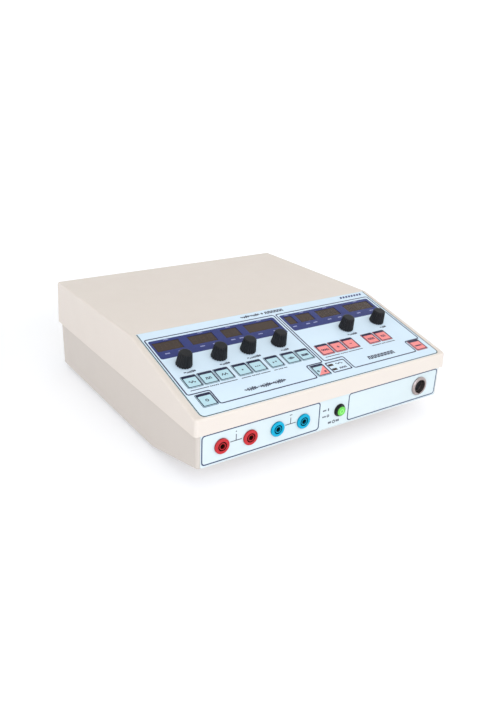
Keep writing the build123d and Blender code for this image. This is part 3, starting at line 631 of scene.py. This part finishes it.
# Painted shade for the overlay's edges, laid like ink.
edge_shade_ink = ink("edge_shade_ink", srgb(44, 70, 66))
dark_ink = ink("dark_ink", srgb(28, 30, 58))
key_band_ink = ink("key_band_ink", srgb(16, 19, 56))
pale_ink = ink("pale_ink", srgb(160, 166, 206))
salmon_ink = ink("salmon_ink", salmon)
unlit_segment = ink("unlit_segment", srgb(66, 52, 43), 0.2)
# A painted highlight for the power button, laid like ink.
button_highlight_ink = ink("button_highlight_ink", srgb(150, 238, 126))


# ---------------------------------------------------------------- thin slabs of ink
INK_THICKNESS = 0.03
THIN_INK = 0.02
INK_SUNK = 0.01


def slab(name, face, shapes, level, finish, body="case", thickness=INK_THICKNESS):
    """Closed slabs of ink that stand just proud of a level above the face."""
    mesh = bpy.data.meshes.new(name)
    built = bmesh.new()
    for shape in shapes:
        flat = [[Vector((x, y, 0)) for x, y in loop] for loop in shape]
        corners = [corner for loop in flat for corner in loop]
        low = [built.verts.new(face.at(corner.x, corner.y, level - INK_SUNK)) for corner in corners]
        high = [built.verts.new(face.at(corner.x, corner.y, level + thickness)) for corner in corners]
        for triangle in tessellate_polygon(flat):
            built.faces.new([high[index] for index in triangle])
            built.faces.new([low[index] for index in reversed(triangle)])
        start = 0
        for loop in flat:
            count = len(loop)
            for index in range(count):
                here = start + index
                after = start + (index + 1) % count
                built.faces.new([low[here], low[after], high[after], high[here]])
            start += count
    bmesh.ops.recalc_face_normals(built, faces=built.faces)
    built.to_mesh(mesh)
    built.free()
    piece = bpy.data.objects.new(name, mesh)
    bpy.context.scene.collection.objects.link(piece)
    mesh.materials.append(finish.material)
    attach(piece, body)


# ---------------------------------------------------------------- prints on the control face
overlay_x, overlay_y, overlay_out = slope.span("control_overlay")
overlay_level = overlay_out[1]
RULE = 1.3

turquoise_keys = [f"turquoise_key_{number}" for number in range(1, 9)]
red_keys = [f"red_key_{number}" for number in range(1, 6)]
corner_keys = ["turquoise_corner_key", "two_colour_key", "red_corner_key"]


def key_box(name):
    """A key's visible top on the control face: left, right, top, bottom and level."""
    rounding = 0.6
    points = slope.points(name)
    top = max(point[2] for point in points)
    xs = [point[0] for point in points if point[2] > top - rounding]
    ys = [point[1] for point in points if point[2] > top - rounding]
    return min(xs), max(xs), min(ys), max(ys), top


key_boxes = {name: key_box(name) for name in turquoise_keys + red_keys + corner_keys}
corner_right, corner_top, corner_bottom = key_boxes["turquoise_corner_key"][1:4]
shared_left, shared_right = key_boxes["two_colour_key"][:2]
end_left = key_boxes["red_corner_key"][0]
row_top, row_bottom = key_boxes["turquoise_key_1"][2:4]

# The ruled lines keep these distances from the overlay's edges, the keys and the lamps.
outline_radius = 2.4
outline_left = overlay_x[0] + 3.0
outline_right = overlay_x[1] - 3.5
outline_top = overlay_y[0] + 11.4
outline_step = corner_top - 2.4
outline_bottom = corner_bottom + 0.4
corner_clearance = 1.6
shared_clearance = 2.6
end_clearance = 2.4
left_rise = 0.8
right_rise = 1.4
lamp_x, lamp_y, _ = slope.span("indicator_lenses")
lamp_box = (lamp_x[0] - 1.6, corner_top + 0.7, lamp_x[1] + 16.6, corner_bottom + 0.2)
lamp_box_radius = 1.6
lamp_box_inner_radius = 1.2
lamp_box_clearance = 2.2
middle_gap = (shared_right + 2.55, shared_right + 5.55)

left_outline = [
    (outline_left, outline_top),
    (middle_gap[0], outline_top),
    (middle_gap[0], outline_step + left_rise),
    (shared_left - shared_clearance, outline_step + left_rise),
    (shared_left - shared_clearance, outline_bottom),
    (corner_right + corner_clearance, outline_bottom),
    (corner_right + corner_clearance, outline_step),
    (outline_left, outline_step),
]
right_outline = [
    (middle_gap[1], outline_top),
    (outline_right, outline_top),
    (outline_right, outline_step + right_rise),
    (end_left - end_clearance, outline_step + right_rise),
    (end_left - end_clearance, outline_bottom),
    (lamp_box[2] + lamp_box_clearance, outline_bottom),
    (lamp_box[2] + lamp_box_clearance, outline_step),
    (middle_gap[1], outline_step),
]
lines = [outline(left_outline, outline_radius, RULE), outline(right_outline, outline_radius, RULE)]
lamp_box_inside = (lamp_box[0] + RULE, lamp_box[1] + RULE, lamp_box[2] - RULE, lamp_box[3] - RULE)
lines.append([rounded(*lamp_box, lamp_box_radius), rounded(*lamp_box_inside, lamp_box_inner_radius)])
slab("section_outlines", slope, lines, overlay_level, line_ink)

# A dark line along the overlay's left, bottom and right edges: painted shade of the gap round the overlay
# in its recess.
border_inset = 0.55
border_top = overlay_y[0] + 0.5
border_bottom = overlay_y[1] - border_inset
border_left = overlay_x[0] + border_inset
border_right = overlay_x[1] - border_inset
border_radius = 5.4
border_line = 1.0
border = [
    (border_left, border_top),
    (border_left, border_bottom),
    (border_right, border_bottom),
    (border_right, border_top),
]
border_path = smooth_corners(border, border_radius, False)
slab("overlay_edge_shade", slope, [stroke(border_path, border_line)], overlay_level, edge_shade_ink)

# Navy bands round the display windows.
window_margin = 0.75
window_height_margin = 1.0
window_radius = 0.05
band_radius = 2.2
digit_runs = slope.runs("led_displays")
_, digits_y, _ = slope.span("led_displays")
window_top = digits_y[0] - window_height_margin
window_bottom = digits_y[1] + window_height_margin
band_top = outline_top + 3.1
band_bottom = window_bottom + 11.2
windows = [(run[0] - window_margin, run[1] + window_margin) for run in digit_runs]
bands = {
    "left_display_band": (outline_left + 2.0, middle_gap[0] - 2.6),
    "right_display_band": (middle_gap[1] + 2.1, overlay_x[1] - 6.4),
}
for name, (band_left, band_right) in bands.items():
    holes = [rounded(left, window_top, right, window_bottom, window_radius, 1)
             for left, right in windows if band_left < left < band_right]
    edge = rounded(band_left, band_top, band_right, band_bottom, band_radius)
    slab(name, slope, [[edge] + [hole[::-1] for hole in holes]], overlay_level, navy_ink)

# The cut edges of the overlay round the windows are inked like the bands.
overlay_thickness = 0.4
liner_width = 0.12
liners = []
for left, right in windows:
    liners.append([
        rounded(left, window_top, right, window_bottom, window_radius, 1),
        rounded(left + liner_width, window_top + liner_width,
                right - liner_width, window_bottom - liner_width, window_radius, 1)[::-1],
    ])
slab("window_liners", slope, liners, overlay_level - overlay_thickness, navy_ink,
     thickness=overlay_thickness + INK_THICKNESS)

# Small pale blocks above and below each window.
upper_legend = blocks(5.5, 0.9, 5)
lower_legend = blocks(5.0, 1.4, 4)
upper_legend_y = window_top - 2.1
lower_legend_y = window_bottom + 4.2
wide_window = 15
legends = []
for left, right in windows:
    width = right - left
    middle = (left + right) / 2
    legends += moved(upper_legend, middle + width * 0.08, upper_legend_y)
    legends += moved(lower_legend, middle - width * 0.22, lower_legend_y)
    if width > wide_window:
        legends += moved(lower_legend, middle + width * 0.28, lower_legend_y)
slab("display_legends", slope, legends, overlay_level + INK_THICKNESS, pale_ink)

# The unlit digits show as faint shapes on the smoked windows.
filter_level = slope.span("left_display_filter")[2][1]
digit_pitch = 9.0
digit = seven_segments(4.4, 8.4, 0.1)
digit_point = [[disc(0, 0, 0.45, 10)]]
point_shift = (3.4, 4.2)
window_middle = (window_top + window_bottom) / 2
digits = []
for left, right in digit_runs:
    count = round((right - left) / digit_pitch)
    for index in range(count):
        x = left + digit_pitch * (index + 0.5)
        digits += moved(digit, x, window_middle)
        digits += moved(digit_point, x + point_shift[0], window_middle + point_shift[1])
slab("unlit_digits", slope, digits, filter_level, unlit_segment, thickness=THIN_INK)

# Marks where the knobs, the key groups, the lamps and the sections have their labels.
knob_middles = [sum(slope.span(f"knob_{number}")[0]) / 2 for number in range(1, 7)]
marks = []
knob_label_widths = (12.5, 11.0, 16.0, 9.5, 13.0, 8.5)
knob_label_y = row_top - 5.0
for middle, width in zip(knob_middles, knob_label_widths):
    marks += moved(rising_bars(width, 3.2, 6), middle, knob_label_y)

bracket_y = row_bottom + 3.3
bracket_line = 0.9
bracket_dot_pitch = 1.9
bracket_dot_radius = 0.75
bracket_clearance = 1.5


def bracket(first_key, last_key, dot_count):
    """A ruled bar under a run of keys with a row of dots in its gap."""
    left = key_boxes[first_key][0]
    right = key_boxes[last_key][1]
    middle = (left + right) / 2
    gap = dot_count * bracket_dot_pitch + bracket_clearance
    top = bracket_y - bracket_line / 2
    bottom = bracket_y + bracket_line / 2
    shapes = [bar(left, top, middle - gap / 2, bottom), bar(middle + gap / 2, top, right, bottom)]
    return shapes + moved(dots(dot_count, bracket_dot_pitch, bracket_dot_radius), middle, bracket_y)


marks += bracket("turquoise_key_1", "turquoise_key_3", 5)
marks += bracket("turquoise_key_4", "turquoise_key_5", 5)
marks += bracket("turquoise_key_6", "turquoise_key_6", 3)
marks += bracket("red_key_1", "red_key_3", 5)
marks += bracket("red_key_4", "red_key_5", 3)
title_y = (corner_top + corner_bottom) / 2 + 0.6
left_title_x = (corner_right + shared_left) / 2 - 1.4
right_title_x = (lamp_box[2] + end_left) / 2 - 0.4
marks += moved(wave(46, 4.1, 20, envelope=3, line=TITLE_LINE), left_title_x, title_y)
marks += moved(pulses(36, 3.4, 8, line=1.4), right_title_x, title_y)
heading_y = (overlay_y[0] + outline_top) / 2 - 0.6
heading_wave_x = -17
heading_plus_x = -2
heading_pulses_x = 13.5
marks += moved(wave(24, 3.4, 10, envelope=2, line=TITLE_LINE), heading_wave_x, heading_y)
marks += moved(plus(3.0, TITLE_LINE), heading_plus_x, heading_y)
marks += moved(pulses(24, 2.8, 6, line=TITLE_LINE), heading_pulses_x, heading_y)
lamp_mark_x = lamp_x[1] + 7.5
lamp_half_height = 1.5
marks += moved(wave(8.0, 1.8, 2), lamp_mark_x, lamp_y[0] + lamp_half_height)
marks += moved(pulses(9.0, 1.6, 3), lamp_mark_x, lamp_y[1] - lamp_half_height)
slab("control_marks", slope, marks, overlay_level, dark_ink)

# A row of leaning stripes in the top right corner.
stripes_left = overlay_x[1] - 39
stripe_count = 8
stripe_pitch = 4.1
stripe_width = 2.8
stripe_lean = 1.6
stripe_top = heading_y - 2.1
stripe_bottom = heading_y + 1.3
stripes = []
for index in range(stripe_count):
    x = stripes_left + index * stripe_pitch
    stripes.append([[
        (x, stripe_bottom),
        (x + stripe_width, stripe_bottom),
        (x + stripe_width + stripe_lean, stripe_top),
        (x + stripe_lean, stripe_top),
    ]])
slab("corner_stripes", slope, stripes, overlay_level, navy_ink)

# ---------------------------------------------------------------- prints on the keys
key_icons = {
    "turquoise_key_1": wave(6.4, 2.4, 2),
    "turquoise_key_2": pulses(6.4, 2.2, 2),
    "turquoise_key_3": zigzag(6.4, 2.4, 2),
    "turquoise_key_4": dots(1, 1.0, 0.9),
    "turquoise_key_5": dots(3, 2.2, 0.75),
    "turquoise_key_6": moved(pointer(2.2, True), -1.7, 0) + moved(pointer(2.2, False), 1.7, 0),
    "turquoise_key_7": wave(8.4, 3.0, 6, envelope=1),
    "turquoise_key_8": pulses(8.4, 2.2, 4),
    "red_key_1": wave(9.0, 2.4, 4),
    "red_key_2": plus(3.2),
    "red_key_3": minus(3.2),
    "red_key_4": pulses(8.6, 2.2, 3),
    "red_key_5": pulses(6.0, 2.2, 2),
    "turquoise_corner_key": ring(1.7),
    "two_colour_key": moved(ring(1.3), -3.6, 0.2) + moved(square(2.2), 3.4, 2.4),
    "red_corner_key": minus(9.0) + moved(minus(9.0), 0, 0.9),
}
key_inset = 0.25
key_rule = 1.0
key_band = 2.9
key_surround = 0.4
key_outer_radius = 0.9
key_inner_radius = 0.7
for name, (left, right, top, bottom, level) in key_boxes.items():
    outer = rounded(left + key_inset, top + key_inset,
                    right - key_inset, bottom - key_inset, key_outer_radius)
    low_x = left + key_inset + key_rule
    high_x = right - key_inset - key_rule
    low_y = top + key_inset + key_band
    high_y = bottom - key_inset - key_rule
    inner = rounded(low_x, low_y, high_x, high_y, key_inner_radius)
    middle_x = (left + right) / 2
    middle_y = (top + bottom) / 2 + key_band / 2 - key_rule / 2
    print_level = level
    if name == "two_colour_key":
        half = [[[(low_x, high_y), (high_x, low_y), (high_x, high_y)]]]
        slab("two_colour_key_half", slope, half, level, salmon_ink, body=name, thickness=THIN_INK)
        print_level = level + THIN_INK
    shapes = [[outer, inner[::-1]]] + moved(key_icons[name], middle_x, middle_y)
    slab(f"{name}_print", slope, shapes, print_level, key_band_ink, body=name)

# A dark frame on the overlay round each key: partly the printed frame, partly painted shade of the gap
# round the key.
surround_gap = 0.12
surround_reach = surround_gap + key_surround
surround_outer_radius = 1.7
surround_inner_radius = 1.3


def grown(box, reach, radius):
    """A key's outline, larger all round by a distance."""
    left, right, top, bottom, _ = box
    return rounded(left - reach, top - reach, right + reach, bottom + reach, radius)


surrounds = []
for box in key_boxes.values():
    surrounds.append([
        grown(box, surround_reach, surround_outer_radius),
        grown(box, surround_gap, surround_inner_radius)[::-1],
    ])
slab("key_surrounds", slope, surrounds, overlay_level, key_band_ink)

# ---------------------------------------------------------------- prints on the front
front_x, front_y, front_out = front.span("front_overlay")
front_level = front_out[1]
FRONT_RULE = 1.2
lead_sockets = ("red_socket_1", "red_socket_2", "blue_socket_1", "blue_socket_2")
socket_middles = [sum(front.span(name)[0]) / 2 for name in lead_sockets]
socket_x, socket_heights, _ = front.span("red_socket_1")
socket_y = sum(socket_heights) / 2
socket_radius = (socket_x[1] - socket_x[0]) / 2
power_left, power_right = front.span("power_bezel")[0]
power_middle = (power_left + power_right) / 2


def front_panel_outline(left, right):
    """A ruled box on the front."""
    low = front_y[0] + 1.6
    high = front_y[1] - 0.9
    outer_radius = 3.6
    inner_radius = 2.6
    return [
        rounded(left, low, right, high, outer_radius),
        rounded(left + FRONT_RULE, low + FRONT_RULE,
                right - FRONT_RULE, high - FRONT_RULE, inner_radius)[::-1],
    ]


lead_panel = (front_x[0] + 0.8, socket_middles[-1] + 20.0)
treatment_panel = (power_middle + 10.9, front_x[1] - 0.9)
front_lines = [front_panel_outline(*lead_panel), front_panel_outline(*treatment_panel)]
slab("front_outlines", front, front_lines, front_level, front_line_ink)

# A line links the two sockets of each channel, with a leader up to one dot or two.
link_clearance = 1.4
link_y = socket_y + 1.1
leader_low = socket_y + 1.3
leader_high = socket_y + 7.6
channel_dots_y = socket_y + 10.2
front_marks = []
for channel in (1, 2):
    left = socket_middles[2 * channel - 2] + socket_radius + link_clearance
    right = socket_middles[2 * channel - 1] - socket_radius - link_clearance
    middle = (left + right) / 2
    front_marks.append(stroke([(left, link_y), (right, link_y)], MARK_LINE))
    front_marks.append(stroke([(middle, leader_low), (middle, leader_high)], MARK_LINE))
    front_marks += moved(dots(channel, 1.7, 0.6), middle, channel_dots_y)

# The power button's sign, and the marks for its two states.
label_x = power_middle - 6.3
label_y = front_y[0] + 5.8
label_blocks = blocks(4.2, 2.2, 3)
label_blocks_shift = 4.9
front_marks += moved(power_sign(1.5), label_x, label_y)
front_marks += moved(label_blocks, label_x - label_blocks_shift, label_y)
front_marks += moved(label_blocks, label_x + label_blocks_shift, label_y)
legend_x = power_middle - 14.2
legend_blocks_x = legend_x - 4.6
pressed_y = socket_y + 3.9
released_y = socket_y - 2.8
front_marks += moved([bar(-TITLE_LINE / 2, -1.4, TITLE_LINE / 2, 1.4)], legend_x, pressed_y)
front_marks += moved(ring(1.5), legend_x, released_y)
for height in (pressed_y, released_y):
    front_marks += moved(blocks(4.4, 1.5, 3), legend_blocks_x, height)
slab("front_marks", front, front_marks, front_level, dark_ink)

# A lighter ring on the end of the power button: a painted highlight.
button_x, button_y, button_out = front.span("power_button")
ring_outer_radius = 2.3
ring_inner_radius = 1.6
button_highlight = [[disc(0, 0, ring_outer_radius), disc(0, 0, ring_inner_radius)[::-1]]]
button_highlight = moved(button_highlight, sum(button_x) / 2, sum(button_y) / 2)
slab("button_highlight", front, button_highlight, button_out[1], button_highlight_ink, body="power_button")

# ---------------------------------------------------------------- signs on the back
back_level = back.span("lower_base")[2][1]
inlet_x, inlet_y, _ = back.span("mains_inlet")
sign_x = inlet_x[1] + 8.0
current_sign_y = (inlet_y[0] + inlet_y[1]) / 2 + 5.0
back_signs = moved(wave(7.0, 2.6, 1), sign_x, current_sign_y)
# The sign for a fuse: a box on a line.
fuse_y = inlet_y[0] + 8.5
fuse_half_width = 3.0
fuse_half_height = 1.2
fuse_line = 0.4
fuse_lead = 2.0
fuse_inner_width = fuse_half_width - fuse_line
fuse_inner_height = fuse_half_height - fuse_line
back_signs.append([
    rounded(sign_x - fuse_half_width, fuse_y - fuse_half_height,
            sign_x + fuse_half_width, fuse_y + fuse_half_height, 0.2, 2),
    rounded(sign_x - fuse_inner_width, fuse_y - fuse_inner_height,
            sign_x + fuse_inner_width, fuse_y + fuse_inner_height, 0.1, 2)[::-1],
])
for left in (sign_x - fuse_half_width - fuse_lead, sign_x + fuse_half_width):
    back_signs.append(bar(left, fuse_y - fuse_line / 2, left + fuse_lead, fuse_y + fuse_line / 2))
slab("back_signs", back, back_signs, back_level, dark_ink)


# ---------------------------------------------------------------- studio
def floor():
    """A pale round floor that curves up into a wall all round, like a studio cove."""
    floor_reach = 3.2
    curve_radius = 1.2
    wall_height = 3.0
    sides = 96
    flat_steps = 8
    curve_steps = 12
    profile = [(floor_reach * step / flat_steps, 0.0) for step in range(1, flat_steps + 1)]
    for step in range(1, curve_steps + 1):
        turn = math.radians(90 * step / curve_steps)
        profile.append((floor_reach + curve_radius * math.sin(turn), curve_radius * (1 - math.cos(turn))))
    profile.append((floor_reach + curve_radius, wall_height))
    built = bmesh.new()
    middle = built.verts.new((0, 0, 0))
    rings = []
    for radius, height in profile:
        turns = [2 * math.pi * side / sides for side in range(sides)]
        rings.append([built.verts.new((radius * math.cos(t), radius * math.sin(t), height)) for t in turns])
    for side in range(sides):
        after = (side + 1) % sides
        built.faces.new([middle, rings[0][side], rings[0][after]])
        for inner, outer in zip(rings, rings[1:]):
            built.faces.new([inner[side], outer[side], outer[after], inner[after]])
    for face in built.faces:
        face.smooth = True
    mesh = bpy.data.meshes.new("studio_floor")
    built.to_mesh(mesh)
    built.free()
    piece = bpy.data.objects.new("studio_floor", mesh)
    bpy.context.scene.collection.objects.link(piece)
    dull_paint = (0.71, 0.71, 0.715, 1)
    clean_paint = (0.73, 0.73, 0.735, 1)
    near_glow = (0.29, 0.295, 0.305, 1)
    far_glow = (0.67, 0.685, 0.72, 1)
    glow_start = 0.35
    glow_end = 1.1
    made = Finish("studio_floor", 0.9, specular=0.1)
    cloud = made.patches(0.0, 1.0, 400, 2)
    made.colour(made.mix(cloud, dull_paint, clean_paint))
    # The floor glows, and more strongly away from the unit, where the soft boxes don't reach.
    reach = made.node("ShaderNodeVectorMath", operation="LENGTH")
    made.set(reach.inputs[0], made.place)
    lit = made.remap(reach.outputs["Value"], glow_start, glow_end, 0.0, 1.0)
    made.set(made.shader.inputs["Emission Color"], made.mix(lit, near_glow, far_glow))
    made.shader.inputs["Emission Strength"].default_value = 1.0
    mesh.materials.append(made.material)
    piece.location.z = cad_low.z


def soft_light(name, azimuth, elevation, distance, width, power, tint=(1, 1, 1)):
    """A square soft box that looks at the unit. Azimuth 0 is in front of it and 90 to its right."""
    light = bpy.data.lights.new(name, "AREA")
    light.shape = "SQUARE"
    light.size = width
    light.energy = power
    light.color = tint
    piece = bpy.data.objects.new(name, light)
    bpy.context.scene.collection.objects.link(piece)
    turn, rise = math.radians(azimuth), math.radians(elevation)
    away = Vector((math.sin(turn) * math.cos(rise), -math.cos(turn) * math.cos(rise), math.sin(rise)))
    centre = (cad_low + cad_high) / 2
    piece.location = centre + away * distance
    piece.rotation_euler = (-away).to_track_quat("-Z", "Y").to_euler()


def studio():
    floor()
    world = bpy.data.worlds.new("studio_world")
    bpy.context.scene.world = world
    world.use_nodes = True
    background = world.node_tree.nodes["Background"]
    background.inputs["Color"].default_value = (0.97, 0.985, 1.0, 1)
    background.inputs["Strength"].default_value = 0.49
    soft_light("key_soft_box", -22, 31, 1.3, 0.9, 6.0, (0.82, 0.89, 1.0))
    soft_light("top_soft_box", 0, 80, 1.7, 1.2, 6.4, (0.9, 0.83, 0.66))
    soft_light("right_soft_box", 40, 34, 1.9, 0.8, 2.3)
    view = bpy.context.scene.view_settings
    view.view_transform = "Standard"
    view.look = "None"


def camera():
    """Looks down on the front left corner, rolled slightly, as someone standing there would."""
    azimuth = math.radians(34.326)
    elevation = math.radians(23.317)
    roll = math.radians(2.023)
    distance = 0.650
    share_across = 0.2652
    share_back = 0.1726
    share_up = 0.8575
    low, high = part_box("upper_cover")
    target = Vector((
        low.x + share_across * (high.x - low.x),
        low.y + share_back * (high.y - low.y),
        share_up * high.z,
    ))
    forward = Vector((
        math.sin(azimuth) * math.cos(elevation),
        math.cos(azimuth) * math.cos(elevation),
        -math.sin(elevation),
    ))
    level_right = Vector((math.cos(azimuth), -math.sin(azimuth), 0))
    level_up = level_right.cross(forward)
    right = level_right * math.cos(roll) + level_up * math.sin(roll)
    up = right.cross(forward)
    data = bpy.data.cameras.new("camera")
    data.lens = 34.65
    data.sensor_width = 36.0
    data.clip_start = 0.01
    data.clip_end = 100.0
    piece = bpy.data.objects.new("camera", data)
    bpy.context.scene.collection.objects.link(piece)
    turned = Matrix((right, up, -forward)).transposed().to_4x4()
    piece.matrix_world = Matrix.Translation(target - forward * distance) @ turned
    bpy.context.scene.camera = piece


studio()
camera()

bpy.context.view_layer.update()
